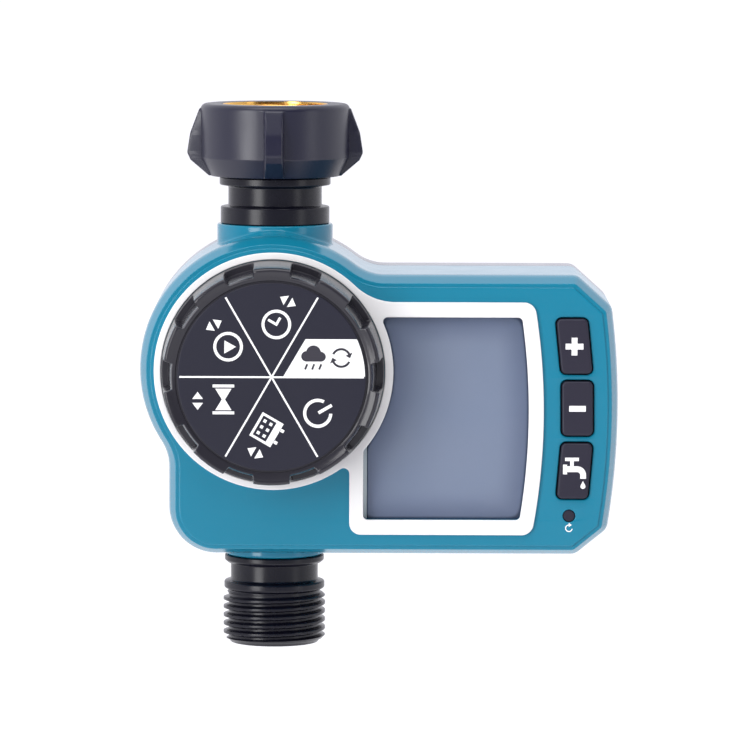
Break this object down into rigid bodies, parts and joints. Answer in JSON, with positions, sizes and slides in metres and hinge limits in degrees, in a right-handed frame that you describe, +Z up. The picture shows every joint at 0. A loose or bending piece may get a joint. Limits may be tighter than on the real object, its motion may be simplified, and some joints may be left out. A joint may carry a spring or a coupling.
{
  "type": "tap timer",
  "caption": "Battery tap timer for drip watering: threaded swivel nut above, teal case with a notched dial, screen and push buttons, and a male hose outlet below.",
  "frame": {"origin": "centre of the tap nut's mouth, on the axis of the water pipe", "axes": "+X towards the screen and buttons, +Y to the back of the case, +Z up along the pipe towards the tap"},
  "size_m": [0.1244, 0.0721, 0.1424],
  "materials": {
    "teal_plastic": "smooth moulded teal, glossy",
    "grey_plastic": "smooth moulded grey, satin gloss",
    "white_plastic": "smooth white, glossy",
    "dial_plastic": "charcoal, satin",
    "label_ink": "printed disc, satin",
    "black_plastic": "black, glossy",
    "nut_plastic": "black, fine satin grain",
    "button_rubber": "soft-touch dark grey",
    "clear_lens": "clear tinted window",
    "display_glass": "dark display cell",
    "inner_white": "plain white moulding",
    "circuit_board": "solder-mask green",
    "component_black": "moulded black",
    "component_tan": "mixed small components",
    "brass": "turned, bright",
    "steel": "bright steel",
    "black_rubber": "matt rubber",
    "copper_wire": "enamelled copper",
    "red_wire": "PVC insulation",
    "cell_sleeve": "printed steel sleeve",
    "gold_contact": "plated"
  },
  "bodies": {
    "case": {"front_housing": "teal_plastic", "rear_cover": "grey_plastic", "case_seal": "black_rubber", "case_screws": "steel", "bezel_trim": "white_plastic", "screen_lens": "clear_lens", "lcd_glass": "display_glass", "lcd_frame": "inner_white", "lcd_connector": "component_tan", "circuit_board": "circuit_board", "board_screws": "steel", "board_chips": "component_black", "board_small_parts": "component_tan", "tact_switches": "component_black", "dial_seal": "black_rubber", "rotary_switch": "inner_white", "valve_body": "black_plastic", "inlet_neck": "black_plastic", "inlet_seal": "black_rubber", "inlet_tailpiece": "black_plastic", "inlet_washer": "black_rubber", "filter_screen": "steel", "outlet_fitting": "black_plastic", "outlet_seal": "black_rubber", "diaphragm": "black_rubber", "valve_bonnet": "black_plastic", "bonnet_screws": "steel", "core_tube": "steel", "pole_piece": "steel", "plunger_spring": "steel", "coil_bobbin": "inner_white", "solenoid_coil": "copper_wire", "solenoid_yoke": "steel", "core_nut": "steel", "solenoid_leads": "red_wire", "bay_contacts": "gold_contact", "battery_leads": "red_wire"},
    "tap_nut": {"coupling_nut": "nut_plastic", "thread_insert": "brass"},
    "dial": {"dial_knob": "dial_plastic", "dial_label": "label_ink", "dial_shaft": "steel", "dial_clip": "steel", "switch_rotor": "component_black"},
    "plus": {"plus_button": "button_rubber"},
    "minus": {"minus_button": "button_rubber"},
    "water": {"water_button": "button_rubber"},
    "reset": {"reset_button": "button_rubber"},
    "valve_plunger": {"plunger": "steel"},
    "valve_disc": {"diaphragm_plate": "inner_white"},
    "drawer": {"battery_drawer": "grey_plastic", "drawer_seal": "black_rubber", "battery_cells": "cell_sleeve", "battery_springs": "steel", "drawer_contacts": "steel"}
  },
  "joints": [
    {"name": "nut_spin", "type": "hinge", "parent": "case", "child": "tap_nut", "pos_m": [0, 0, 0], "axis": [0, 0, 1], "continuous": true},
    {"name": "dial_turn", "type": "hinge", "parent": "case", "child": "dial", "pos_m": [0, -0.0289, -0.0682], "axis": [0, 1, 0], "continuous": true},
    {"name": "plus_press", "type": "slide", "parent": "case", "child": "plus", "axis": [0, 1, 0], "range_m": [0, 0.0008], "stiffness_N_per_m": 400},
    {"name": "minus_press", "type": "slide", "parent": "case", "child": "minus", "axis": [0, 1, 0], "range_m": [0, 0.0008], "stiffness_N_per_m": 400},
    {"name": "water_press", "type": "slide", "parent": "case", "child": "water", "axis": [0, 1, 0], "range_m": [0, 0.0008], "stiffness_N_per_m": 400},
    {"name": "reset_press", "type": "slide", "parent": "case", "child": "reset", "axis": [0, 1, 0], "range_m": [0, 0.0008], "stiffness_N_per_m": 400},
    {"name": "plunger_pull", "type": "slide", "parent": "case", "child": "valve_plunger", "axis": [1, 0, 0], "range_m": [0, 0.002], "stiffness_N_per_m": 150, "deforming": ["plunger_spring"]},
    {"name": "diaphragm_lift", "type": "slide", "parent": "case", "child": "valve_disc", "axis": [1, 0, 0], "range_m": [0, 0.002], "stiffness_N_per_m": 150, "deforming": ["diaphragm"]},
    {"name": "drawer_slide", "type": "slide", "parent": "case", "child": "drawer", "axis": [0, 1, 0], "range_m": [0, 0.024]}
  ]
}
